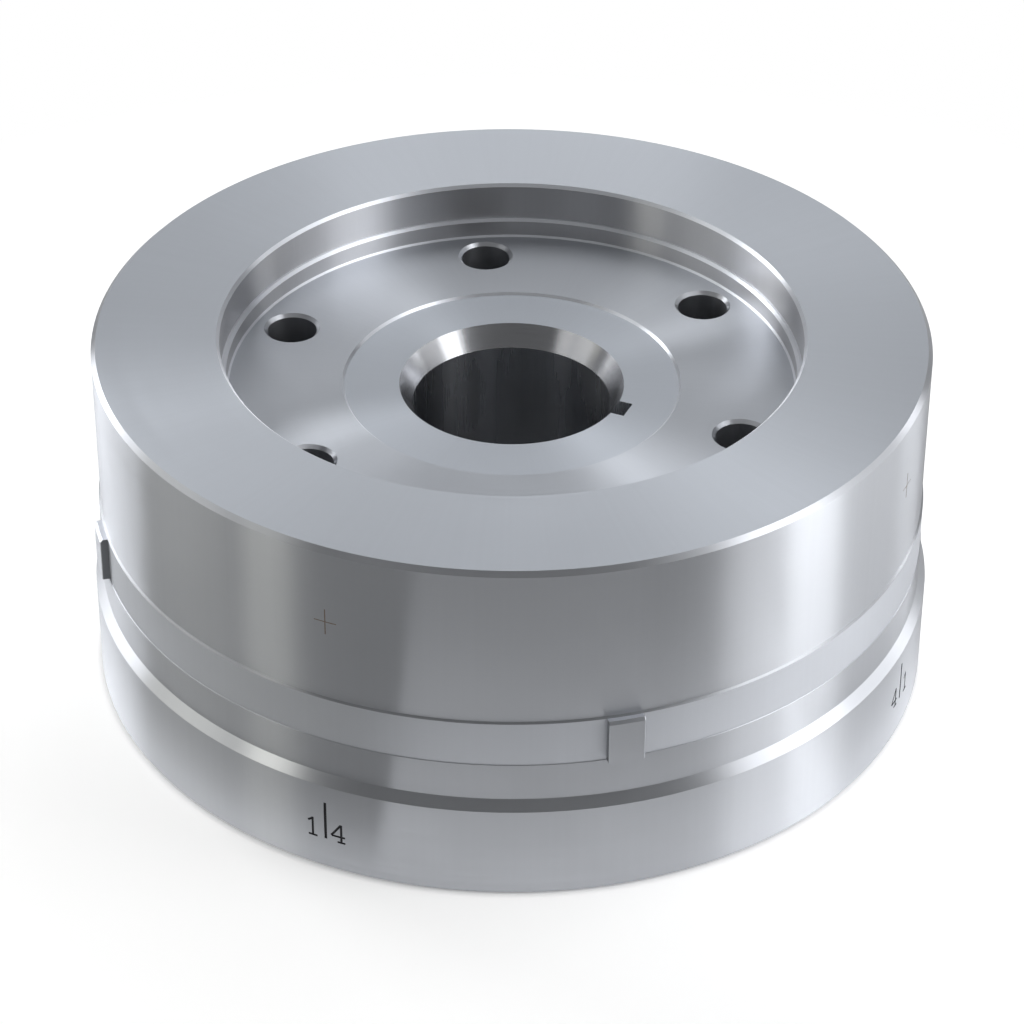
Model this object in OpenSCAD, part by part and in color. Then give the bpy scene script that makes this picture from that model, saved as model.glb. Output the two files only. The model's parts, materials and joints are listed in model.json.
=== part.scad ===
// Flywheel rotor of an alternator: one turned and milled steel drum, with a recess for a
// starter clutch on its upper side and a ring of magnets inside its open lower side.
// Millimetres. The open rim stands on Z = 0 and the crank axis is Z.

/* [Drum] */
// Outside diameter of the tall upper band
drum_d = 135; // [130:0.5:150]
// Height of the rotor, from the open rim to the upper face
drum_h = 59.7; // [56:0.1:66]
// Edge break round the upper face
top_break = 0.75; // [0.3:0.05:1.5]
// How far the foot band stands out from the upper band
foot_step = 1.65; // [1:0.05:3]
// Height of the foot band
foot_h = 16.2; // [12:0.1:18]
// Height of the flare that leads out to the foot band
flare_h = 1.7; // [1:0.1:3]
// Edge break round the foot
foot_break = 0.5; // [0.2:0.05:1.2]

/* [Pickup track] */
// How far the milled track stands out from the upper band
track_step = 0.3; // [0.1:0.05:0.6]
// How far the plain band under the track stands out from the milled track
track_ledge = 0.12; // [0.05:0.01:0.4]
// Height of the lower edge of the milled track
track_low = 24.4; // [21:0.1:26]
// Height of the milled track
track_h = 7.7; // [6:0.1:10]

/* [Pickup lugs] */
// Number of pickup lugs
lug_count = 2; // [1:1:2]
// Angle from one lug to the next
lug_spacing = 90; // [45:0.5:180]
// Direction of the first lug, counted from the keyway
lug_lead = -51.7; // [-60:0.1:-40]
// Width of a lug along the track
lug_w = 5.7; // [4:0.1:12]
// How far a lug stands out from the upper band
lug_proud = 1.55; // [1:0.05:2.5]
// Edge break round the face of a lug
lug_break = 0.2; // [0.1:0.05:0.4]

/* [Clutch recess] */
// Diameter of the register that centres the clutch housing
register_d = 92.3; // [88:0.1:98]
// Height of the register above the floor of the recess
register_h = 3.1; // [2:0.1:5]
// Step from the register out to the wider mouth
mouth_relief = 0.85; // [0.4:0.05:2]
// Edge break round the mouth
mouth_break = 0.5; // [0.2:0.05:1]
// Depth of the recess under the upper face
recess_depth = 9.7; // [6:0.1:12]
// Break in the corner between the register and the floor
floor_break = 0.3; // [0.1:0.05:0.8]
// Diameter of the ground seat round the bore
seat_d = 54.2; // [46:0.1:60]
// How far that seat lies under the floor
seat_drop = 0.4; // [0.1:0.05:1]

/* [Clutch bolts] */
// Number of bolt holes
bolt_count = 6; // [3:1:8]
// Diameter of the circle through the bolt holes
bolt_circle_d = 79.5; // [76:0.1:81]
// Diameter of a bolt hole
bolt_hole_d = 8.2; // [6.6:0.1:9]
// Edge break of a bolt hole, on both sides of the web
bolt_break = 0.55; // [0.2:0.05:0.8]

/* [Crank bore] */
// Diameter of the bore
bore_d = 32.2; // [28:0.1:34]
// Width of the cone that leads into the bore
lead_in_w = 2.15; // [1:0.05:3]
// Depth of that cone
lead_in_h = 3.5; // [2:0.1:5]
// Direction of the keyway
key_angle = -23.4; // [-180:0.1:180]
// Width of the keyway
key_w = 3.8; // [3:0.1:6]
// Depth of the keyway from the wall of the bore
key_depth = 4.3; // [2:0.1:4.5]

/* [Cup and hub] */
// Thickness of the wall round the cup
cup_wall_t = 8; // [6.5:0.5:12]
// Thickness of the web between the recess and the cup
web_t = 9; // [6:0.1:12]
// Outside diameter of the hub inside the cup
hub_d = 49; // [46:0.5:56]
// Height of the free end of the hub above the rim
hub_low = 14; // [4:0.5:24]
// Round between the hub and the web
hub_fillet = 3; // [1:0.1:5]
// Round between the cup wall and the web
cup_fillet = 1.5; // [0.5:0.1:3]
// Edge break inside the rim and at the free end of the hub
cup_break = 0.8; // [0.3:0.1:1.5]

/* [Magnets] */
// Number of magnets
magnet_count = 12; // [6:2:18]
// Radial thickness of a magnet
magnet_t = 6; // [4:0.1:8]
// Length of a magnet along the crank axis
magnet_l = 30; // [20:0.5:32]
// Gap from one magnet to the next, along the cup wall
magnet_gap = 3; // [2:0.1:6]
// How far the magnets lie inside the rim
magnet_setback = 5; // [3:0.1:8]
// Edge break at the ends of a magnet
magnet_break = 0.5; // [0.2:0.05:1]
// Film of adhesive behind and beside each magnet
glue_t = 0.1; // [0.05:0.01:0.3]

/* [Magnet sleeve] */
// Wall of the sleeve
sleeve_t = 0.4; // [0.3:0.05:1]
// Clearance between the sleeve and the magnets
sleeve_gap = 0.1; // [0.05:0.01:0.3]
// How far the lip of the sleeve reaches over the ends of the magnets
lip_reach = 2.2; // [1:0.1:4]

/* [Hidden] */
$fn = 128;
drum_r = drum_d / 2;
foot_r = drum_r + foot_step;
track_r = drum_r + track_step;
band_r = track_r + track_ledge;
lug_r = drum_r + lug_proud;
track_top = track_low + track_h;

register_r = register_d / 2;
mouth_r = register_r + mouth_relief;
floor_z = drum_h - recess_depth;
seat_r = seat_d / 2;
seat_z = floor_z - seat_drop;
web_z = floor_z - web_t;

bore_r = bore_d / 2;
lead_in_r = bore_r + lead_in_w;
key_reach = bore_r + key_depth;
bolt_r = bolt_hole_d / 2;

cup_r = drum_r - cup_wall_t;
hub_r = hub_d / 2;

magnet_out = cup_r - glue_t;
magnet_in = magnet_out - magnet_t;
magnet_top = magnet_setback + magnet_l;
magnet_pitch = 360 / magnet_count;
gap_angle = arc_degrees(magnet_gap, magnet_out);
glue_angle = arc_degrees(glue_t, magnet_out);
magnet_angle = magnet_pitch - gap_angle;

sleeve_out = magnet_in - sleeve_gap;
sleeve_in = sleeve_out - sleeve_t;
lip_z = magnet_setback - sleeve_t;

// Small lengths that let cuts run past a face and joined shapes share some metal
past = 1;
root = 0.5;

function arc_degrees(length, radius) = length / radius * 180 / PI;
function magnet_name(i) = str("magnet_", i < 10 ? "0" : "", i);

// Half section of the drum as it leaves the lathe, drawn as radius and height
module turned_section() {
    polygon([
        [bore_r + cup_break, hub_low],
        [hub_r - cup_break, hub_low],
        [hub_r, hub_low + cup_break],
        [hub_r, web_z],
        [cup_r, web_z],
        [cup_r, cup_break],
        [cup_r + cup_break, 0],
        [foot_r - foot_break, 0],
        [foot_r, foot_break],
        [foot_r, foot_h],
        [band_r, foot_h + flare_h],
        [band_r, track_low],
        [track_r, track_low],
        [track_r, track_top],
        [drum_r, track_top + track_step],
        [drum_r, drum_h - top_break],
        [drum_r - top_break, drum_h],
        [mouth_r + mouth_break, drum_h],
        [mouth_r, drum_h - mouth_break],
        [mouth_r, floor_z + register_h],
        [register_r, floor_z + register_h],
        [register_r, floor_z + floor_break],
        [register_r - floor_break, floor_z],
        [seat_r + seat_drop, floor_z],
        [seat_r, seat_z],
        [lead_in_r, seat_z],
        [bore_r, seat_z - lead_in_h],
        [bore_r, hub_low + cup_break]
    ]);
    web_fillet(hub_r, hub_fillet, 1);
    web_fillet(cup_r, cup_fillet, -1);
}

// Round under the web, at a wall of the given radius. side is 1 where the round lies outside
// the wall and -1 where it lies inside it.
module web_fillet(wall_r, size, side) {
    translate([wall_r, web_z])
        mirror([side < 0 ? 1 : 0, 0])
            difference() {
                translate([-root, -size]) square([size + root, size + root]);
                translate([size, -size]) circle(size);
            }
}

// A pickup lug, left standing when the track was milled
module lug() {
    face_w = lug_w - 2 * lug_break;
    intersection() {
        rotate_extrude()
            polygon([
                [track_r - root, track_low],
                [lug_r - lug_break, track_low],
                [lug_r, track_low + lug_break],
                [lug_r, track_top - lug_break],
                [lug_r - lug_break, track_top],
                [track_r - root, track_top]
            ]);
        linear_extrude(height = drum_h)
            polygon([
                [0, -lug_w / 2],
                [lug_r - lug_break, -lug_w / 2],
                [lug_r + root, -face_w / 2 + root],
                [lug_r + root, face_w / 2 - root],
                [lug_r - lug_break, lug_w / 2],
                [0, lug_w / 2]
            ]);
    }
}

// A hole of radius r through the web, with both edges broken
module bolt_hole() {
    rotate_extrude()
        polygon([
            [0, web_z - past],
            [bolt_r + bolt_break + past, web_z - past],
            [bolt_r, web_z + bolt_break],
            [bolt_r, floor_z - bolt_break],
            [bolt_r + bolt_break + past, floor_z + past],
            [0, floor_z + past]
        ]);
}

module keyway() {
    translate([0, -key_w / 2, hub_low - past])
        cube([key_reach, key_w, floor_z - hub_low + 2 * past]);
}

module rotor_body() {
    color("silver")
    difference() {
        union() {
            // The seam of the turned shape lies behind the first lug
            rotate(key_angle + lug_lead) rotate_extrude() turned_section();
            for (i = [0 : lug_count - 1])
                rotate(key_angle + lug_lead - i * lug_spacing) lug();
        }
        for (i = [0 : bolt_count - 1])
            rotate(key_angle + i * 360 / bolt_count)
                translate([bolt_circle_d / 2, 0, 0]) bolt_hole();
        rotate(key_angle) keyway();
    }
}

// One arc magnet, centred on its own direction
module magnet(i) {
    color("dimgray")
    rotate(key_angle + (i - 1) * magnet_pitch - magnet_angle / 2)
        rotate_extrude(angle = magnet_angle)
            polygon([
                [magnet_in + magnet_break, magnet_setback],
                [magnet_out - magnet_break, magnet_setback],
                [magnet_out, magnet_setback + magnet_break],
                [magnet_out, magnet_top],
                [magnet_in, magnet_top],
                [magnet_in, magnet_setback + magnet_break]
            ]);
}

// Moulded cage: a ring against the web, with a pocket for each magnet cut up from the rim side,
// so that a finger is left in each gap between two magnets
module magnet_spacer() {
    pocket_angle = magnet_angle + 2 * glue_angle;
    color([0.12, 0.12, 0.13])
    difference() {
        rotate_extrude()
            polygon([
                [magnet_in, magnet_setback],
                [magnet_out, magnet_setback],
                [magnet_out, web_z - cup_fillet],
                [magnet_out - cup_fillet, web_z],
                [magnet_in, web_z]
            ]);
        for (i = [1 : magnet_count])
            rotate(key_angle + (i - 1) * magnet_pitch - pocket_angle / 2)
                rotate_extrude(angle = pocket_angle)
                    translate([magnet_in - past, magnet_setback - past])
                        square([magnet_t + 2 * past, magnet_l + past]);
    }
}

// Thin sleeve that holds the magnets in, with a lip turned out over their ends
module magnet_sleeve() {
    color("lightsteelblue")
    rotate_extrude()
        polygon([
            [sleeve_in, lip_z],
            [magnet_in + lip_reach, lip_z],
            [magnet_in + lip_reach, magnet_setback],
            [sleeve_out, magnet_setback],
            [sleeve_out, web_z],
            [sleeve_in, web_z]
        ]);
}

rotor_body();
magnet_spacer();
magnet_sleeve();
for (i = [1 : magnet_count])
    magnet(i);
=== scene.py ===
"""A turned steel flywheel rotor with its magnets, marks, stage and camera.

Lengths are in metres, as in the frame. The open rim stands on z = 0, the crank axis is Z, and the
camera looks from the -Y side. Angles are counted from +X, counter-clockwise from above.
"""

import json
import math

import bpy
from bpy.props import (
    FloatProperty,
    FloatVectorProperty,
    IntProperty,
    PointerProperty,
)
from mathutils import Matrix, Vector


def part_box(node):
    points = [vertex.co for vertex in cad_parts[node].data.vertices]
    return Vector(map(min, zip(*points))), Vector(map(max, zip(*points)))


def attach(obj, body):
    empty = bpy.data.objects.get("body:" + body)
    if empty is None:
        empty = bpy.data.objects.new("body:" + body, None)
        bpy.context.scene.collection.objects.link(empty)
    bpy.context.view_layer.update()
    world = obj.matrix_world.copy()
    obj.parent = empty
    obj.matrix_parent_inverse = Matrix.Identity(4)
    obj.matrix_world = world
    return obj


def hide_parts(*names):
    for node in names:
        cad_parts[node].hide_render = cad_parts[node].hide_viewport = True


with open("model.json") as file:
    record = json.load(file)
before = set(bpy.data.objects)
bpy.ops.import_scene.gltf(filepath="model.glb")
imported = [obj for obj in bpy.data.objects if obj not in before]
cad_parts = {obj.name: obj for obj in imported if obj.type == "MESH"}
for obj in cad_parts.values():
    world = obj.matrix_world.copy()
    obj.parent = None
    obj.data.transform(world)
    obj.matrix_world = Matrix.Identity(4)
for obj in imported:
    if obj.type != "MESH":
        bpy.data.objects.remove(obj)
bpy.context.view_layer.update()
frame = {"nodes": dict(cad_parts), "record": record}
BODY_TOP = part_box("rotor_body")[1]
MOUNTS = {mount["name"]: mount for mount in frame["record"]["mounts"]}
NODES = frame["nodes"]
MM = 0.001

bl_info = {
    "name": "Flywheel rotor",
    "version": (1, 0, 0),
    "blender": (4, 5, 0),
    "location": "View3D > Sidebar > Rotor",
    "description": "Turns, mills, marks and dresses a flywheel rotor, and sets its studio",
    "category": "Object",
}


def length(name, description, default):
    """A length that a user can change, in metres."""
    return FloatProperty(
        name=name, description=description, default=default, unit="LENGTH", min=0.0, precision=5
    )


def angle(name, description, degrees):
    """An angle that a user can change, given here in degrees."""
    return FloatProperty(
        name=name, description=description, default=math.radians(degrees), subtype="ANGLE"
    )


def tint(name, description, default):
    """A colour that a user can change."""
    return FloatVectorProperty(
        name=name, description=description, default=default, subtype="COLOR", min=0.0, max=1.0
    )


def share(name, description, default, highest=1.0):
    """A plain number that a user can change, from 0 up."""
    return FloatProperty(
        name=name, description=description, default=default, min=0.0, max=highest
    )


class RotorSizes(bpy.types.PropertyGroup):
    """Sizes of the turned and milled body."""

    drum_r: length("Drum radius", "Radius of the tall upper band", 67.5 * MM)
    drum_h: length("Height", "Height from the open rim to the upper face", BODY_TOP.z)
    top_break: length("Top edge break", "Edge break round the upper face", 0.75 * MM)
    foot_r: length("Foot radius", "Radius of the foot band", BODY_TOP.x)
    foot_h: length("Foot height", "Height of the foot band", 16.2 * MM)
    flare_h: length("Flare height", "Height of the flare above the foot band", 1.7 * MM)
    foot_break: length("Foot edge break", "Edge break under the foot band", 0.5 * MM)
    track_step: length("Track step", "How far the track stands out from the drum", 0.3 * MM)
    track_ledge: length("Track ledge", "How far the band below stands out further", 0.12 * MM)
    track_low: length("Track low edge", "Height of the lower edge of the track", 24.4 * MM)
    track_h: length("Track height", "Height of the milled track", 7.7 * MM)
    lug_w: length("Lug width", "Width of a pickup lug along the track", 5.7 * MM)
    lug_proud: length("Lug reach", "How far a lug stands out from the drum", 1.55 * MM)
    lug_break: length("Lug edge break", "Edge break along the top of a lug", 0.45 * MM)
    lug_side_break: length("Lug side break", "Edge break down the sides of a lug", 0.12 * MM)
    register_h: length("Register height", "Height of the clutch register", 3.1 * MM)
    mouth_relief: length("Mouth relief", "Step from the register to the mouth", 0.85 * MM)
    mouth_break: length("Mouth edge break", "Edge break round the mouth", 0.5 * MM)
    ledge_break: length("Ledge break", "Break between the register and the mouth", 0.45 * MM)
    recess_depth: length("Recess depth", "Depth of the clutch recess", 9.7 * MM)
    floor_break: length("Corner break", "Break in the corner of the recess", 0.3 * MM)
    seat_r: length("Seat radius", "Radius of the ground seat round the bore", 27.1 * MM)
    seat_drop: length("Seat drop", "How far the seat lies under the floor", 0.4 * MM)
    bolt_break: length("Hole edge break", "Edge break of a bolt hole", 0.55 * MM)
    lead_in_w: length("Lead-in width", "Width of the cone that leads into the bore", 2.15 * MM)
    lead_in_h: length("Lead-in depth", "Depth of that cone", 3.5 * MM)
    key_w: length("Keyway width", "Width of the keyway", 3.8 * MM)
    key_depth: length("Keyway depth", "Depth of the keyway from the bore wall", 4.3 * MM)
    cup_r: length("Cup radius", "Inside radius of the cup", 59.5 * MM)
    web_t: length("Web thickness", "Thickness of the web under the recess", 9.0 * MM)
    hub_r: length("Hub radius", "Outside radius of the hub in the cup", 24.5 * MM)
    hub_low: length("Hub end", "Height of the free end of the hub", 14.0 * MM)
    hub_fillet: length("Hub fillet", "Round between the hub and the web", 3.0 * MM)
    cup_fillet: length("Cup fillet", "Round between the cup wall and the web", 1.5 * MM)
    cup_break: length("Cup edge break", "Edge break at the rim and the hub end", 0.8 * MM)
    key_angle: angle("Keyway direction", "Direction of the keyway", -23.4)
    lug_lead: angle("Lug lead", "Direction of the first lug, from the keyway", -51.7)
    lug_spacing: angle("Lug spacing", "Angle from the first lug to the second", -90.0)
    lug_count: IntProperty(name="Lugs", description="Number of pickup lugs", default=2, min=1)
    turn_steps: IntProperty(
        name="Turning steps", description="Facets round the crank axis", default=720, min=90
    )


def sizes():
    """The sizes that the operators share."""
    return bpy.context.scene.rotor_sizes


def deselect_all():
    """Leaves object mode with nothing selected."""
    if bpy.context.object and bpy.context.object.mode != "OBJECT":
        bpy.ops.object.mode_set(mode="OBJECT")
    bpy.ops.object.select_all(action="DESELECT")


def make_active(piece):
    """Selects one object and nothing else."""
    deselect_all()
    piece.select_set(True)
    bpy.context.view_layer.objects.active = piece


def place_in_mesh(piece):
    """Moves an object's place into its mesh, so that the object sits at the origin."""
    make_active(piece)
    bpy.ops.object.transform_apply(location=True, rotation=True, scale=True)


def arc(centre, radius, start, end, steps=6):
    """Points on an arc of the half section, as (radius, height), angles in degrees."""
    turns = (math.radians(start + (end - start) * i / steps) for i in range(steps + 1))
    return [(centre[0] + radius * math.cos(t), centre[1] + radius * math.sin(t)) for t in turns]


def turn(name, outline, steps):
    """Turns a closed half section, given as (radius, height), about the crank axis."""
    deselect_all()
    bpy.ops.mesh.primitive_plane_add(size=1 * MM, location=(0, 0, 0))
    piece = bpy.context.object
    piece.name = piece.data.name = name
    bpy.ops.object.mode_set(mode="EDIT")
    bpy.ops.mesh.merge(type="CENTER")
    bpy.ops.transform.translate(value=(outline[0][0], 0, outline[0][1]))
    for before, after in zip(outline, outline[1:] + outline[:1]):
        move = (after[0] - before[0], 0, after[1] - before[1])
        bpy.ops.mesh.extrude_region_move(TRANSFORM_OT_translate={"value": move})
    bpy.ops.mesh.select_all(action="SELECT")
    bpy.ops.mesh.remove_doubles(threshold=0.001 * MM)
    bpy.ops.mesh.spin(steps=steps, angle=math.tau, center=(0, 0, 0), axis=(0, 0, 1))
    bpy.ops.mesh.select_all(action="SELECT")
    bpy.ops.mesh.remove_doubles(threshold=0.001 * MM)
    bpy.ops.mesh.normals_make_consistent(inside=False)
    bpy.ops.object.mode_set(mode="OBJECT")
    return piece


def combine(piece, tool, operation):
    """Joins a tool shape to a piece, or cuts it away, and deletes the tool."""
    make_active(piece)
    change = piece.modifiers.new("combine", "BOOLEAN")
    change.operation = operation
    change.solver = "EXACT"
    change.object = tool
    bpy.ops.object.modifier_apply(modifier=change.name)
    bpy.data.objects.remove(tool)
    if not piece.data.polygons:
        raise RuntimeError("a cut or join left nothing of " + piece.name)


def body_outline(s):
    """Half section of the drum as it leaves the lathe."""
    bore_r = MOUNTS["crank_bore"]["dims"]["r_mm"] * MM
    register_r = MOUNTS["clutch_register"]["dims"]["r_mm"] * MM
    floor_z = s.drum_h - s.recess_depth
    seat_z = floor_z - s.seat_drop
    web_z = floor_z - s.web_t
    mouth_r = register_r + s.mouth_relief
    ledge_z = floor_z + s.register_h
    slope = s.ledge_break / 2
    track_r = s.drum_r + s.track_step
    band_r = track_r + s.track_ledge
    track_top = s.track_low + s.track_h
    hub_round = (s.hub_r + s.hub_fillet, web_z - s.hub_fillet)
    cup_round = (s.cup_r - s.cup_fillet, web_z - s.cup_fillet)
    edge = 0.15 * MM
    return [
        (bore_r, s.hub_low + s.cup_break),
        (bore_r + s.cup_break, s.hub_low),
        (s.hub_r - s.cup_break, s.hub_low),
        (s.hub_r, s.hub_low + s.cup_break),
        *arc(hub_round, s.hub_fillet, 180, 90),
        *arc(cup_round, s.cup_fillet, 90, 0),
        (s.cup_r, s.cup_break),
        (s.cup_r + s.cup_break, 0),
        (s.foot_r - s.foot_break, 0),
        (s.foot_r, s.foot_break),
        (s.foot_r, s.foot_h),
        (band_r, s.foot_h + s.flare_h),
        (band_r, s.track_low - edge / 2),
        (band_r - edge / 2, s.track_low),
        (track_r, s.track_low),
        (track_r, track_top),
        (s.drum_r, track_top + s.track_step),
        (s.drum_r, s.drum_h - s.top_break),
        (s.drum_r - s.top_break, s.drum_h),
        (mouth_r + s.mouth_break, s.drum_h),
        (mouth_r, s.drum_h - s.mouth_break),
        (mouth_r, ledge_z + slope),
        (register_r + s.ledge_break, ledge_z + slope),
        (register_r, ledge_z - slope),
        (register_r, floor_z + s.floor_break),
        (register_r - s.floor_break, floor_z),
        (s.seat_r + s.seat_drop, floor_z),
        (s.seat_r, seat_z),
        (bore_r + s.lead_in_w, seat_z),
        (bore_r, seat_z - s.lead_in_h),
    ]


def lug_block(s, direction):
    """A pickup lug at its place, its face round the crank axis as the track's is."""
    face_r = s.drum_r + s.lug_proud
    root_r = s.drum_r - 1.0 * MM
    middle_z = s.track_low + s.track_h / 2
    top_z = s.track_low + s.track_h
    side_y = s.lug_w / 2
    deselect_all()
    bpy.ops.mesh.primitive_cube_add(
        size=1,
        location=((face_r + root_r) / 2, 0, middle_z),
        scale=(face_r - root_r, s.lug_w, s.track_h),
    )
    lug = bpy.context.object
    place_in_mesh(lug)
    bpy.ops.object.mode_set(mode="EDIT")
    strips = 12
    inner_y = side_y - s.lug_side_break
    for i in range(strips + 1):
        bpy.ops.mesh.select_all(action="SELECT")
        bpy.ops.mesh.bisect(plane_co=(0, inner_y * (2 * i / strips - 1), 0), plane_no=(0, 1, 0))
    bpy.ops.mesh.select_all(action="SELECT")
    bpy.ops.mesh.bisect(plane_co=(0, 0, top_z - s.lug_break), plane_no=(0, 0, 1))
    bpy.ops.object.mode_set(mode="OBJECT")
    near = 0.01 * MM
    for vertex in lug.data.vertices:
        if vertex.co.x > s.drum_r:
            reach = math.sqrt(face_r**2 - vertex.co.y**2)
            if vertex.co.z > top_z - near:
                reach -= s.lug_break
            elif abs(vertex.co.y) > side_y - near:
                reach -= s.lug_side_break
            vertex.co.x = reach
    lug.rotation_euler.z = direction
    place_in_mesh(lug)
    return lug


def bolt_tool(s, direction):
    """A cutter for one bolt hole through the web, with both edges broken."""
    holes = MOUNTS["clutch_bolts"]["dims"]
    hole_r = holes["hole_r_mm"] * MM
    floor_z = s.drum_h - s.recess_depth
    web_z = floor_z - s.web_t
    past = 1.0 * MM
    wide = hole_r + s.bolt_break + past
    tool = turn(
        "bolt_tool",
        [
            (0, web_z - past),
            (wide, web_z - past),
            (hole_r, web_z + s.bolt_break),
            (hole_r, floor_z - s.bolt_break),
            (wide, floor_z + past),
            (0, floor_z + past),
        ],
        96,
    )
    reach = holes["pcd_mm"] * MM / 2
    tool.location = (reach * math.cos(direction), reach * math.sin(direction), 0)
    place_in_mesh(tool)
    return tool


def key_tool(s):
    """A cutter for the keyway, from end to end of the bore."""
    bore_r = MOUNTS["crank_bore"]["dims"]["r_mm"] * MM
    reach = bore_r + s.key_depth
    past = 1.0 * MM
    low = s.hub_low - past
    high = s.drum_h - s.recess_depth + past
    deselect_all()
    bpy.ops.mesh.primitive_cube_add(
        size=1, location=(reach / 2, 0, (low + high) / 2), scale=(reach, s.key_w, high - low)
    )
    tool = bpy.context.object
    place_in_mesh(tool)
    tool.rotation_euler.z = s.key_angle
    place_in_mesh(tool)
    return tool


class ROTOR_OT_body(bpy.types.Operator):
    """Turn the rotor body, leave its lugs standing, drill it and cut its keyway"""

    bl_idname = "rotor.body"
    bl_label = "Rotor body"

    def execute(self, context):
        s = sizes()
        body = turn("turned_rotor", body_outline(s), s.turn_steps)
        for i in range(s.lug_count):
            direction = s.key_angle + s.lug_lead + i * s.lug_spacing
            combine(body, lug_block(s, direction), "UNION")
        bolts = MOUNTS["clutch_bolts"]["dims"]["count"]
        for i in range(bolts):
            combine(body, bolt_tool(s, s.key_angle + math.tau * i / bolts), "DIFFERENCE")
        combine(body, key_tool(s), "DIFFERENCE")
        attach(body, "root")
        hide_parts("rotor_body")
        return {"FINISHED"}


class Signal:
    """A shader socket that can be used in sums."""

    def __init__(self, maker, socket):
        self.maker = maker
        self.socket = socket

    def math(self, operation, other=None, swap=False, clamp=False):
        """The result of a Math node on this value, and on the other one where there is one."""
        values = [self, other] if other is not None else [self]
        if swap:
            values.reverse()
        return self.maker.add(
            "ShaderNodeMath", {"operation": operation, "use_clamp": clamp}, dict(enumerate(values))
        )

    def __add__(self, other):
        return self.math("ADD", other)

    def __radd__(self, other):
        return self.math("ADD", other, swap=True)

    def __sub__(self, other):
        return self.math("SUBTRACT", other)

    def __rsub__(self, other):
        return self.math("SUBTRACT", other, swap=True)

    def __mul__(self, other):
        return self.math("MULTIPLY", other)

    def __rmul__(self, other):
        return self.math("MULTIPLY", other, swap=True)

    def __truediv__(self, other):
        return self.math("DIVIDE", other)


class Finish:
    """A material that is put together from nodes."""

    def __init__(self, name):
        self.material = bpy.data.materials.new(name)
        self.material.use_nodes = True
        self.tree = self.material.node_tree
        self.tree.nodes.clear()

    def add(self, kind, settings=None, inputs=None, output=0):
        """A node of that kind, its settings made first, then its sockets' values or links."""
        node = self.tree.nodes.new(kind)
        for name, value in (settings or {}).items():
            if name == "stops":
                self.set_stops(node.color_ramp, value)
            else:
                setattr(node, name, value)
        for name, value in (inputs or {}).items():
            if isinstance(value, Signal):
                self.tree.links.new(value.socket, node.inputs[name])
            else:
                node.inputs[name].default_value = value
        return Signal(self, node.outputs[output]) if node.outputs else None

    @staticmethod
    def set_stops(ramp, stops):
        """Gives a colour ramp its stops, each a place and a grey value."""
        while len(ramp.elements) < len(stops):
            ramp.elements.new(1.0)
        for element, (place, grey) in zip(ramp.elements, stops):
            element.position = place
            element.color = (grey, grey, grey, 1.0)

    def close(self, shader):
        """Sends a shader to the surface and returns the material."""
        self.add("ShaderNodeOutputMaterial", None, {"Surface": shader})
        return self.material

    def parts(self, vector):
        """The three parts of a vector, each as a signal."""
        split = self.add("ShaderNodeSeparateXYZ", None, {"Vector": vector}).socket.node
        return [Signal(self, socket) for socket in split.outputs]

    def mix_colours(self, factor, first, second):
        """Goes from the first colour to the second as factor goes from 0 to 1."""
        inputs = {0: factor, 6: (*first, 1.0), 7: (*second, 1.0)}
        return self.add("ShaderNodeMix", {"data_type": "RGBA"}, inputs, output=2)

    def bump(self, height):
        """The surface's direction where it is as high as given, in metres."""
        inputs = {"Strength": 1.0, "Distance": 1.0, "Height": height}
        return self.add("ShaderNodeBump", None, inputs)


def patches(f, place, size, detail=2.0, roughness=0.5):
    """Cloudy patches of the given size, from 0 to 1."""
    inputs = {"Vector": place, "Scale": 1 / size, "Detail": detail, "Roughness": roughness}
    return f.add("ShaderNodeTexNoise", None, inputs)


def shades(colour, low, high):
    """A darker and a lighter version of a colour."""
    return [channel * low for channel in colour], [channel * high for channel in colour]


def rise_from(value, start, run):
    """Goes from 0 to 1 as value goes from start to start + run."""
    return ((value - start) * (1 / run)).math("ADD", 0.0, clamp=True)


# How much the tool marks and the haze move the roughness, and how far a steel's tone spreads
MARK_GLOSS = 0.10
HAZE_GLOSS = 0.06
TONE_SPREAD = 0.05
HAZE_SIZE = 14 * MM


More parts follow.
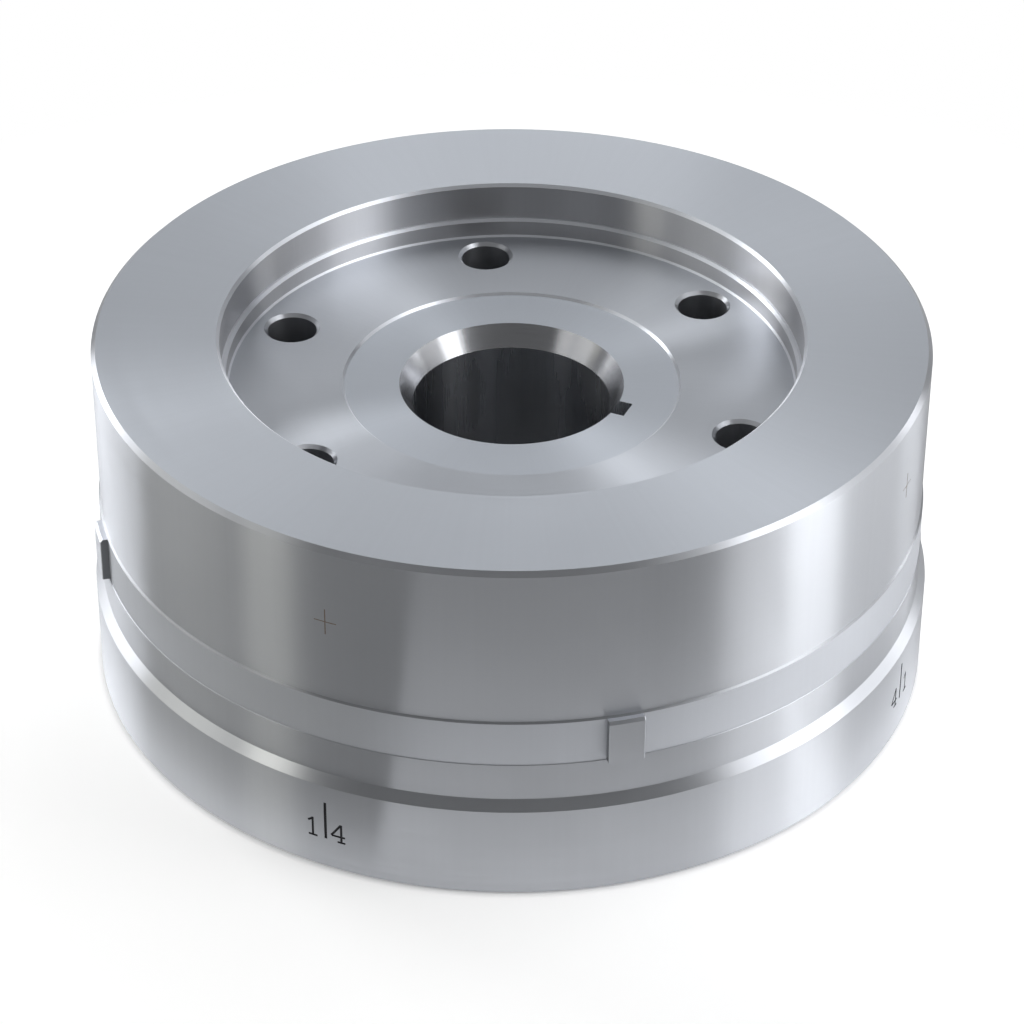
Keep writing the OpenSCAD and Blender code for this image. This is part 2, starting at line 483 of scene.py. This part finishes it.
def steel(name, cut):
    """Bare steel as a tool left it, with the fine marks that run round the crank axis."""
    s = sizes()
    steels = bpy.context.scene.rotor_steel
    f = Finish(name)
    place = f.add("ShaderNodeTexCoord", output=3)
    x, y, z = f.parts(place)
    radius = (x * x + y * y).math("SQRT")
    round_x, round_y = x / radius, y / radius
    across = z if cut["lay"] == "height" else radius

    # Tool marks follow each other across the face and change slowly round the axis
    spot = f.add(
        "ShaderNodeCombineXYZ",
        None,
        {
            "X": across * (1 / (cut["pitch"] * MM)),
            "Y": round_x * cut["wander"],
            "Z": round_y * cut["wander"],
        },
    )
    marks = patches(f, spot, 1.0, 3.0, 0.6)
    # Slight waves round the axis draw a reflection out into streaks
    way = f.add(
        "ShaderNodeCombineXYZ",
        None,
        {
            "X": round_x * cut["waves"],
            "Y": round_y * cut["waves"],
            "Z": across * (cut["wave_run"] / s.drum_h),
        },
    )
    waves = patches(f, way, 1.0, 2.0, 0.55)
    haze = patches(f, place, HAZE_SIZE)
    height = (marks - 0.5) * (cut["mark_depth"] * MM) + (waves - 0.5) * (cut["wave_depth"] * MM)
    rough = cut["roughness"] + (marks - 0.5) * MARK_GLOSS + (haze - 0.5) * HAZE_GLOSS
    red, green, blue = steels.colour
    grey = (red * (1 - cut["cool"]), green, blue * (1 + cut["cool"]))
    dark, light = shades(grey, cut["tone"] - TONE_SPREAD, cut["tone"] + TONE_SPREAD)
    colour = f.mix_colours((marks + waves + haze) * (1 / 3), dark, light)
    shader = f.add(
        "ShaderNodeBsdfPrincipled",
        None,
        {
            "Base Color": colour,
            "Metallic": 1.0,
            "Roughness": rough,
            "Anisotropic": cut["anisotropy"],
            "Anisotropic Rotation": 0.25,
            "Normal": f.bump(height),
        },
    )
    return f.close(shader)


def look(roughness, anisotropy, lay, pitch, mark_depth, tone=1.0, cool=0.0, waves=60.0,
         wave_depth=0.0012, wave_run=0.8, wander=0.7):
    """The look of one cut face. Pitch and depths in millimetres, cool above 0 is bluer."""
    return {
        "roughness": roughness,
        "anisotropy": anisotropy,
        "lay": lay,
        "pitch": pitch,
        "mark_depth": mark_depth,
        "tone": tone,
        "cool": cool,
        "waves": waves,
        "wave_depth": wave_depth,
        "wave_run": wave_run,
        "wander": wander,
    }


LOOKS = {
    "ground_face": look(0.38, 0.76, "radius", 0.35, 0.0004, cool=0.027),
    "recess_floor": look(0.36, 1.00, "radius", 0.40, 0.0010, tone=1.07, cool=0.020),
    "bore_seat": look(0.38, 0.86, "radius", 0.30, 0.0006, cool=0.034),
    "recess_wall": look(0.36, 1.00, "height", 0.30, 0.0006, tone=0.96, cool=-0.027),
    "lead_in": look(0.24, 0.75, "height", 0.25, 0.0050, cool=-0.015, wave_depth=0.003),
    "bore_wall": look(0.27, 0.90, "radius", 0.30, 0.0006, tone=0.85, waves=16.0, wave_depth=0.010,
                      wave_run=0.3, wander=7.0),
    "upper_band": look(0.36, 1.00, "height", 0.30, 0.0006, tone=1.08, wave_depth=0.0018),
    "milled_track": look(0.60, 0.50, "height", 0.50, 0.0010, tone=1.12),
    "lower_band": look(0.37, 1.00, "height", 0.30, 0.0008, wave_depth=0.0024),
    "flare": look(0.34, 0.80, "height", 0.30, 0.0005),
    "foot_band": look(0.37, 1.00, "height", 0.30, 0.0006, wave_depth=0.0018),
    "lug_face": look(0.36, 1.00, "height", 0.40, 0.0006),
    # The top face of a lug has its steel colour raised well above the rest, a painted highlight
    # for the light that the narrow face catches.
    "lug_top": look(0.55, 0.20, "radius", 0.30, 0.0010, tone=1.40),
    # The side walls of a lug have their steel colour halved, painted shade for the dark sides of
    # the lug.
    "lug_side": look(0.50, 0.30, "radius", 0.30, 0.0020, tone=0.50),
    "edge_break": look(0.38, 0.95, "height", 0.30, 0.0003),
    # The edge breaks round the recess and the seat are the edge break steel with a much lighter
    # colour, a painted highlight along the ledges and corners.
    "recess_edge": look(0.38, 0.95, "height", 0.30, 0.0003, tone=1.42),
    # The shoulder at the top of the track is the edge break steel with a darker colour, painted
    # shade along the line where the track meets the drum.
    "track_shoulder": look(0.38, 0.95, "height", 0.30, 0.0003, tone=0.80),
    "drilled_hole": look(0.40, 0.50, "height", 0.35, 0.0015, tone=0.8),
    "cup_inside": look(0.42, 0.70, "height", 0.60, 0.0030, tone=0.9),
}


def stamped(name, colour, roughness):
    """The dark floor of a stamped or scribed mark."""
    f = Finish(name)
    place = f.add("ShaderNodeTexCoord", output=3)
    grain = patches(f, place, 0.4 * MM)
    dark, light = shades(colour, 0.7, 1.4)
    shader = f.add(
        "ShaderNodeBsdfPrincipled",
        None,
        {
            "Base Color": f.mix_colours(grain, dark, light),
            "Metallic": 0.3,
            "Roughness": roughness + (grain - 0.5) * 0.2,
        },
    )
    return f.close(shader)


def wrap(piece, direction, height, radius):
    """Bends a flat piece, drawn in the XY plane, round the drum at that place."""
    place_in_mesh(piece)
    for vertex in piece.data.vertices:
        along, up, out = vertex.co
        turned = direction + along / radius
        reach = radius + out
        vertex.co = (reach * math.cos(turned), reach * math.sin(turned), height + up)


def bar_tool(width, tall, depth, out=0.3 * MM):
    """A bar across the wall of the drum, from its depth to just outside the wall."""
    deselect_all()
    bpy.ops.mesh.primitive_cube_add(
        size=1, location=(0, 0, (out - depth) / 2), scale=(width, tall, out + depth)
    )
    bar = bpy.context.object
    bpy.ops.object.mode_set(mode="EDIT")
    bpy.ops.mesh.subdivide(number_cuts=6)
    bpy.ops.object.mode_set(mode="OBJECT")
    return bar


# Places of the marks on the drum: direction in degrees, then height in millimetres
TIMING_LINES = ((-114.25, 9.45), (-23.5, 10.1))
STAMPED_NUMERALS = (
    ("1", -116.1, 7.6),
    ("4", -112.4, 7.5),
    ("4", -25.6, 8.2),
    ("1", -21.3, 8.3),
)
CROSSES = ((-114.15, 46.5), (-23.3, 47.9))

# Strokes of each numeral, in shares of its height: the stroke's middle across and up, its
# length, and its slope in degrees
NUMERALS = {
    "1": ((0.0, 0.0, 1.0, 90), (0.0, -0.45, 0.42, 0), (-0.10, 0.37, 0.30, 35)),
    "4": (
        (0.12, 0.0, 1.0, 90),
        (0.12, -0.45, 0.36, 0),
        (-0.02, -0.16, 0.62, 0),
        (-0.12, 0.16, 0.78, 55),
    ),
}


def stroke_tool(stroke, tall, width, depth):
    """One straight stroke of a numeral, given by its middle, its length and its slope."""
    middle_x, middle_y, long, slope = stroke
    bar = bar_tool(long * tall, width, depth)
    bar.rotation_euler.z = math.radians(slope)
    bar.location.x, bar.location.y = middle_x * tall, middle_y * tall
    return bar


def mark(body, tool, degrees, height, radius):
    """Cuts one mark into the body at a direction round the axis and a height."""
    wrap(tool, math.radians(degrees), height * MM, radius)
    combine(body, tool, "DIFFERENCE")


class ROTOR_OT_marks(bpy.types.Operator):
    """Stamp the two timing lines with their numerals, and scribe the two crosses"""

    bl_idname = "rotor.marks"
    bl_label = "Timing marks"

    def execute(self, context):
        s = sizes()
        m = context.scene.rotor_marks
        body = bpy.data.objects["turned_rotor"]
        for degrees, middle in TIMING_LINES:
            mark(body, bar_tool(m.line_w, m.line_tall, m.stamp_depth), degrees, middle, s.foot_r)
        for numeral, degrees, middle in STAMPED_NUMERALS:
            for stroke in NUMERALS[numeral]:
                tool = stroke_tool(stroke, m.numeral_tall, m.stroke_w, m.stamp_depth)
                mark(body, tool, degrees, middle, s.foot_r)
        for degrees, middle in CROSSES:
            for wide, tall in ((m.scribe_l, m.scribe_w), (m.scribe_w, m.scribe_tall)):
                mark(body, bar_tool(wide, tall, m.scribe_depth), degrees, middle, s.drum_r)
        return {"FINISHED"}


# What part of a face's normal points up where the face is level, sloping or upright
LEVEL = 0.95
SLOPING = 0.3
UPRIGHT = 0.1
# What part of it points away from the crank axis on the outer face of a lug, or towards the axis
# in the bore
OUTWARD = 0.6
INWARD = -0.5


def lug_finish(rise, outward):
    """Which finish a face of a lug has. rise and outward are the parts of its normal up and away
    from the crank axis."""
    if rise > LEVEL:
        return "lug_top"
    if rise > SLOPING:
        return "edge_break"
    return "lug_face" if outward > OUTWARD else "lug_side"


def face_finish(face, s):
    """Which finish a face of the body has, from its place and slope."""
    centre, normal = face.center, face.normal
    radius = math.hypot(centre.x, centre.y)
    outward = (normal.x * centre.x + normal.y * centre.y) / radius
    near = 0.02 * MM
    bore_r = MOUNTS["crank_bore"]["dims"]["r_mm"] * MM
    register_r = MOUNTS["clutch_register"]["dims"]["r_mm"] * MM
    floor_z = s.drum_h - s.recess_depth
    seat_z = floor_z - s.seat_drop
    track_top = s.track_low + s.track_h
    level = abs(normal.z) > LEVEL
    upright = abs(normal.z) < UPRIGHT
    holes = MOUNTS["clutch_bolts"]["dims"]
    from_hole_circle = abs(radius - holes["pcd_mm"] * MM / 2)
    hole_zone = 6 * MM

    if radius > s.drum_r - s.top_break - near:
        if centre.z > s.drum_h - s.top_break + near:
            return "ground_face" if level else "edge_break"
        if centre.z > track_top + s.track_step - near:
            return "upper_band" if radius > s.drum_r - near else "scribed_mark"
        if centre.z > s.track_low - near:
            if radius > s.drum_r + s.track_step + s.track_ledge + near:
                return lug_finish(normal.z, outward)
            return "track_shoulder" if centre.z > track_top + near else "milled_track"
        if centre.z > s.foot_h + s.flare_h:
            return "lower_band"
        if centre.z > s.foot_h - near:
            return "flare"
        if centre.z < s.foot_break + near:
            return "edge_break"
        return "foot_band" if radius > s.foot_r - near else "stamped_mark"
    if centre.z > s.drum_h - near:
        return "ground_face"
    if centre.z > floor_z + near and radius > register_r - s.floor_break - near:
        return "recess_wall" if upright else "recess_edge"
    if centre.z > floor_z - near:
        return "recess_floor"
    if centre.z > seat_z - near and level:
        return "bore_seat"
    if centre.z > seat_z - near and radius < s.seat_r + s.seat_drop + near:
        return "recess_edge"
    in_lead_in = centre.z > seat_z - s.lead_in_h - near and radius < bore_r + s.lead_in_w
    if in_lead_in and outward < INWARD:
        return "bore_wall" if upright else "lead_in"
    if radius < bore_r + s.key_depth + near and upright:
        return "bore_wall"
    if centre.z > floor_z - s.web_t + near and from_hole_circle < hole_zone:
        return "drilled_hole" if upright else "edge_break"
    return "cup_inside"


class ROTOR_OT_finish(bpy.types.Operator):
    """Give each face of the body the finish that its cut left"""

    bl_idname = "rotor.finish"
    bl_label = "Steel finishes"

    def execute(self, context):
        s = sizes()
        m = context.scene.rotor_marks
        body = bpy.data.objects["turned_rotor"]
        make_active(body)
        bpy.ops.object.shade_smooth_by_angle(angle=math.radians(15))
        body.data.materials.clear()
        for name, values in LOOKS.items():
            body.data.materials.append(steel(name, values))
        body.data.materials.append(stamped("stamped_mark", m.stamp_colour, 0.6))
        body.data.materials.append(stamped("scribed_mark", m.scribe_colour, 0.7))
        numbers = {material.name: i for i, material in enumerate(body.data.materials)}
        for face in body.data.polygons:
            face.material_index = numbers[face_finish(face, s)]
        return {"FINISHED"}


def plain(name, colour, roughness, grain_size, grain_depth, metallic=0.0):
    """A moulded, pressed or sheet surface with a fine even grain."""
    f = Finish(name)
    place = f.add("ShaderNodeTexCoord", output=3)
    grain = patches(f, place, grain_size * MM, 3.0)
    haze = patches(f, place, 12 * MM)
    dark, light = shades(colour, 0.85, 1.15)
    shader = f.add(
        "ShaderNodeBsdfPrincipled",
        None,
        {
            "Base Color": f.mix_colours((grain + haze) * 0.5, dark, light),
            "Metallic": metallic,
            "Roughness": roughness + (haze - 0.5) * 0.12 + (grain - 0.5) * 0.08,
            "Normal": f.bump((grain - 0.5) * (grain_depth * MM)),
        },
    )
    return f.close(shader)


class ROTOR_OT_magnets(bpy.types.Operator):
    """Dress the magnets, the cage between them and the sleeve that holds them in"""

    bl_idname = "rotor.magnets"
    bl_label = "Magnets, cage and sleeve"

    def execute(self, context):
        m = context.scene.rotor_magnets
        dress = {
            "magnet": plain("pressed_magnet", m.magnet_colour, 0.5, 0.5, 0.004, 0.6),
            "cage_plastic": plain("moulded_cage", m.cage_colour, 0.55, 0.3, 0.006),
            "sleeve_steel": steel("drawn_sleeve", look(0.28, 0.5, "height", 0.8, 0.001, 1.05)),
        }
        for part in frame["record"]["subparts"]:
            if part["node"] != "rotor_body":
                for held in NODES[part["node"]].material_slots:
                    held.material = dress[part["material_slot"]]
        return {"FINISHED"}


class RotorSteel(bpy.types.PropertyGroup):
    """Colour of the steel."""

    colour: tint("Steel", "Colour of the bare steel", (0.605, 0.625, 0.665))


class RotorMarks(bpy.types.PropertyGroup):
    """Sizes and colours of the timing marks."""

    line_w: length("Line width", "Width of a stamped timing line", 0.46 * MM)
    line_tall: length("Line height", "Height of a stamped timing line", 7.1 * MM)
    stamp_depth: length("Stamp depth", "Depth of the lines and numerals", 0.15 * MM)
    numeral_tall: length("Numeral height", "Height of a stamped numeral", 3.7 * MM)
    stroke_w: length("Stroke width", "Width of a stroke of a numeral", 0.38 * MM)
    scribe_w: length("Scribe width", "Width of a scribed line of a cross", 0.2 * MM)
    scribe_l: length("Scribe length", "Length of the level line of a cross", 3.7 * MM)
    scribe_tall: length("Scribe height", "Length of the upright line of a cross", 4.6 * MM)
    scribe_depth: length("Scribe depth", "Depth of a scribed line", 0.04 * MM)
    stamp_colour: tint("Stamp colour", "Colour of the stamped marks", (0.02, 0.02, 0.025))
    scribe_colour: tint("Scribe colour", "Colour of the scribed crosses", (0.31, 0.25, 0.21))


class RotorMagnets(bpy.types.PropertyGroup):
    """Colours of the pieces inside the cup."""

    magnet_colour: tint("Magnets", "Colour of the magnets", (0.11, 0.11, 0.12))
    cage_colour: tint("Cage", "Colour of the moulded cage", (0.045, 0.045, 0.05))


class RotorStudio(bpy.types.PropertyGroup):
    """Brightness of the lamps and of the room, where 1 is white."""

    world: share("Room", "Brightness of the room", 0.1, 20.0)
    floor_white: share("Floor", "How much the floor is lifted towards white", 0.5, 20.0)
    card_grey: share("Floor card", "Lightness of the card that lies round the rotor", 0.35)
    right_card_grey: share("Right floor card", "Lightness of that card at the right", 0.6)
    front_skirt: share("Front skirt", "Brightness of the low boxes at the front", 0.42, 50.0)
    right_core: share("Right core", "Brightness of the narrow low lamp at the right", 5.0, 50.0)
    right_wall: share("Right wall", "Brightness of the wide low box at the right", 1.6, 50.0)
    right_end: share("Right end", "Brightness of the lamp at the end of that box", 3.2, 50.0)
    right_fill: share("Right fill", "Brightness of the wide box beside the high one", 0.55, 50.0)
    right_high: share("Right high", "Brightness of the box above them", 2.5, 50.0)
    back_low: share("Back low", "Brightness of the low wide box behind", 0.85, 50.0)
    back_lamp: share("Back lamp", "Brightness of the lamp behind", 2.6, 50.0)
    back_fill: share("Back fill", "Brightness of the box above the lamp behind", 0.5, 50.0)
    back_high: share("Back high", "Brightness of the narrow high lamp behind", 0.35, 50.0)
    back_left: share("Back left", "Brightness of the tall lamp behind on the left", 4.2, 50.0)
    back_corner: share("Back corner", "Brightness of the lamp below it, further round", 2.5, 50.0)
    left_lamp: share("Left lamp", "Brightness of the lamp at the left", 1.2, 50.0)
    left_front: share("Left front", "Brightness of the narrow lamp at the front left", 2.5, 50.0)
    left_colour: tint("Left colour", "Colour of the two low lamps at the left", (1.0, 0.98, 0.86))
    left_high: share("Left high", "Brightness of the box above them", 0.56, 50.0)
    high_right: share("High right", "Brightness of the high lamp at the right", 1.75, 50.0)
    high_back: share("High back", "Brightness of the high lamp behind", 0.78, 50.0)
    front_high: share("Front high", "Brightness of the high lamp at the front", 0.4, 50.0)


# The lamps are placed round this point, about the middle of the rotor
LAMP_AIM = Vector((0, 0, 30 * MM))


def soft_box(name, azimuth, elevation, wide, tall, brightness, distance=0.34, colour=(1, 1, 1)):
    """A lamp that faces the rotor, its place and size given in degrees as the rotor sees them. It
    is as bright as a white surface times brightness."""
    width = 2 * distance * math.tan(math.radians(wide / 2))
    height = 2 * distance * math.tan(math.radians(tall / 2))
    light = bpy.data.lights.new(name, "AREA")
    light.shape = "RECTANGLE"
    light.size = width
    light.size_y = height
    light.energy = brightness * math.pi * width * height
    light.color = colour
    lamp = bpy.data.objects.new(name, light)
    bpy.context.scene.collection.objects.link(lamp)
    turned, rise = math.radians(azimuth), math.radians(elevation)
    away = Vector((
        math.cos(turned) * math.cos(rise), math.sin(turned) * math.cos(rise), math.sin(rise)
    ))
    lamp.location = away * distance + LAMP_AIM
    lamp.rotation_euler = away.to_track_quat("Z", "Y").to_euler()
    lamp.visible_camera = False
    return lamp


def screen(name, start, end, first, last):
    """A card swept round the rotor between two directions, in degrees. first and last are the two
    ends of its section, each a distance from the crank axis and a height."""
    deselect_all()
    bpy.ops.mesh.primitive_plane_add(size=1 * MM, location=(0, 0, 0))
    card = bpy.context.object
    card.name = card.data.name = name
    bpy.ops.object.mode_set(mode="EDIT")
    bpy.ops.mesh.merge(type="CENTER")
    bpy.ops.transform.translate(value=(first[0], 0, first[1]))
    move = (last[0] - first[0], 0, last[1] - first[1])
    bpy.ops.mesh.extrude_region_move(TRANSFORM_OT_translate={"value": move})
    bpy.ops.mesh.select_all(action="SELECT")
    sweep = math.radians(end - start)
    bpy.ops.mesh.spin(steps=24, angle=sweep, center=(0, 0, 0), axis=(0, 0, 1))
    bpy.ops.object.mode_set(mode="OBJECT")
    # Spin sweeps clockwise, so the card starts from its end
    card.rotation_euler.z = math.radians(end)
    place_in_mesh(card)
    return card


def grey_card(grey):
    """Matt card of one plain grey."""
    f = Finish("grey_card")
    shader = f.add(
        "ShaderNodeBsdfPrincipled", None, {"Base Color": (grey, grey, grey, 1), "Roughness": 0.9}
    )
    return f.close(shader)


def floor_paper(white, foot_r):
    """Pale paper that is lifted towards white where light can reach it, so not inside the cup. It
    is all white away from the rotor."""
    f = Finish("floor_paper")
    place = f.add("ShaderNodeTexCoord", output=3)
    cloud = patches(f, place, 90 * MM)
    x, y, z = f.parts(place)
    radius = (x * x + y * y).math("SQRT")
    outside = rise_from(radius, foot_r - 1 * MM, 2 * MM)
    away = rise_from(radius, 110 * MM, 90 * MM)
    paper = f.add(
        "ShaderNodeBsdfPrincipled",
        None,
        {
            "Base Color": f.mix_colours(cloud, (0.90, 0.90, 0.90), (0.93, 0.93, 0.935)),
            "Roughness": 0.9,
            "Specular IOR Level": 0.1,
        },
    )
    glow = f.add("ShaderNodeEmission", None, {"Color": (1, 1, 1, 1), "Strength": white})
    near = f.add("ShaderNodeAddShader", None, {0: paper, 1: glow})
    far = f.add("ShaderNodeEmission", None, {"Color": (1, 1, 1, 1), "Strength": 1.0})
    lifted = f.add("ShaderNodeMixShader", None, {0: away, 1: near, 2: far})
    rays = f.add("ShaderNodeLightPath").socket.node.outputs
    seen = Signal(f, rays["Is Camera Ray"])
    for kind in ("Is Glossy Ray", "Is Transmission Ray"):
        seen = seen.math("MAXIMUM", Signal(f, rays[kind]))
    shader = f.add("ShaderNodeMixShader", None, {0: seen * outside, 1: paper, 2: lifted})
    return f.close(shader)


class ROTOR_OT_stage(bpy.types.Operator):
    """Set the floor, the studio light and the camera"""

    bl_idname = "rotor.stage"
    bl_label = "Stage"

    def execute(self, context):
        studio = context.scene.rotor_studio
        set_floor(studio)
        set_lamps(studio)
        set_room(studio)
        set_camera()
        context.scene.view_settings.view_transform = "Standard"
        return {"FINISHED"}


def set_floor(studio):
    """A wide pale floor, a hair under the open rim so that the two don't share a plane."""
    deselect_all()
    bpy.ops.mesh.primitive_circle_add(
        vertices=96, radius=15.0, fill_type="NGON", location=(0, 0, -0.01 * MM)
    )
    floor = bpy.context.object
    floor.name = floor.data.name = "floor"
    place_in_mesh(floor)
    floor.data.materials.append(floor_paper(studio.floor_white, sizes().foot_r))


def set_lamps(studio):
    """Soft boxes round the rotor, dim on the side of the camera, and grey cards on the floor that
    only the steel shows."""
    skirt = 30
    for place in range(-165, -60, skirt):
        soft_box("front_skirt", place, 0, skirt, 10, studio.front_skirt)
    soft_box("right_core", -16, 0, 16, 11, studio.right_core)
    soft_box("right_wall", -5, 6, 70, 24, studio.right_wall)
    soft_box("right_end", 24, 12, 12, 13, studio.right_end)
    soft_box("right_high", -20, 34, 21, 26, studio.right_high)
    soft_box("right_fill", 8, 31, 32, 22, studio.right_fill)
    soft_box("back_low", 80, 0, 96, 10, studio.back_low)
    soft_box("back_lamp", 90, 12, 22, 13, studio.back_lamp)
    soft_box("back_fill", 92, 29, 54, 22, studio.back_fill)
    soft_box("back_high", 86, 57, 14, 22, studio.back_high)
    soft_box("back_left", 147, 29, 17, 28, studio.back_left)
    soft_box("back_corner", 155, 4, 34, 18, studio.back_corner)
    warm = studio.left_colour
    soft_box("left_lamp", -174, 12, 30, 13, studio.left_lamp, colour=warm)
    soft_box("left_front", -147, 12, 13, 13, studio.left_front, colour=warm)
    soft_box("left_high", -162, 29, 38, 22, studio.left_high)
    soft_box("high_right", 2, 56, 44, 23, studio.high_right)
    soft_box("high_back", 118, 56, 74, 23, studio.high_back)
    soft_box("front_high", -90, 66, 60, 24, studio.front_high, distance=0.3)
    lift = 0.4 * MM
    outer_r = 900 * MM
    for name, start, end, inner_r, grey in (
        ("left_card", 75, 250, 80 * MM, studio.card_grey),
        ("front_card", 250, 325, 106 * MM, studio.card_grey),
        ("right_card", -35, 75, 80 * MM, studio.right_card_grey),
    ):
        card = screen(name, start, end, (inner_r, lift), (outer_r, lift))
        card.data.materials.append(grey_card(grey))
        card.visible_camera = False
        card.visible_shadow = False
        card.visible_diffuse = False


def set_room(studio):
    """Even light from all round."""
    world = bpy.data.worlds.new("room")
    bpy.context.scene.world = world
    world.use_nodes = True
    background = world.node_tree.nodes["Background"]
    background.inputs["Color"].default_value = (1, 1, 1, 1)
    background.inputs["Strength"].default_value = studio.world


def set_camera():
    """A camera at the photograph's viewing angle, turned and shifted as its lens was."""
    elevation = math.radians(34.688)
    roll = math.radians(0.306)
    distance = 616.034 * MM
    side_shift, up_shift = 0.273 * MM, 19.685 * MM
    camera = bpy.data.cameras.new("camera")
    camera.lens = 127.24
    camera.sensor_width = 36.0
    holder = bpy.data.objects.new("camera", camera)
    bpy.context.scene.collection.objects.link(holder)
    ahead = Vector((0, math.cos(elevation), -math.sin(elevation)))
    side = Vector((1, 0, 0))
    up = side.cross(ahead)
    side, up = (
        side * math.cos(roll) + up * math.sin(roll),
        up * math.cos(roll) - side * math.sin(roll),
    )
    place = side * side_shift + up * up_shift - ahead * distance
    turned = Matrix((side, up, -ahead)).transposed()
    holder.matrix_world = Matrix.Translation(place) @ turned.to_4x4()
    camera.clip_start = 0.05
    camera.clip_end = 20.0
    bpy.context.scene.camera = holder


class ROTOR_PT_panel(bpy.types.Panel):
    """The steps of the rotor in order, with their sizes and colours"""

    bl_idname = "ROTOR_PT_panel"
    bl_label = "Flywheel rotor"
    bl_space_type = "VIEW_3D"
    bl_region_type = "UI"
    bl_category = "Rotor"

    def draw(self, context):
        for operator, group in (
            ("rotor.body", "rotor_sizes"),
            ("rotor.marks", "rotor_marks"),
            ("rotor.finish", "rotor_steel"),
            ("rotor.magnets", "rotor_magnets"),
            ("rotor.stage", "rotor_studio"),
        ):
            box = self.layout.box()
            box.operator(operator)
            values = getattr(context.scene, group)
            for name in values.bl_rna.properties.keys():
                if name not in ("name", "rna_type"):
                    box.prop(values, name)


CLASSES = (
    RotorSizes,
    RotorSteel,
    RotorMarks,
    RotorMagnets,
    RotorStudio,
    ROTOR_OT_body,
    ROTOR_OT_marks,
    ROTOR_OT_finish,
    ROTOR_OT_magnets,
    ROTOR_OT_stage,
    ROTOR_PT_panel,
)
GROUPS = {
    "rotor_sizes": RotorSizes,
    "rotor_steel": RotorSteel,
    "rotor_marks": RotorMarks,
    "rotor_magnets": RotorMagnets,
    "rotor_studio": RotorStudio,
}


def register():
    for cls in CLASSES:
        bpy.utils.register_class(cls)
    for name, group in GROUPS.items():
        setattr(bpy.types.Scene, name, PointerProperty(type=group))


def unregister():
    for name in GROUPS:
        delattr(bpy.types.Scene, name)
    for cls in reversed(CLASSES):
        bpy.utils.unregister_class(cls)


def main():
    register()
    bpy.ops.rotor.body()
    bpy.ops.rotor.marks()
    bpy.ops.rotor.finish()
    bpy.ops.rotor.magnets()
    bpy.ops.rotor.stage()


if __name__ == "__main__":
    main()
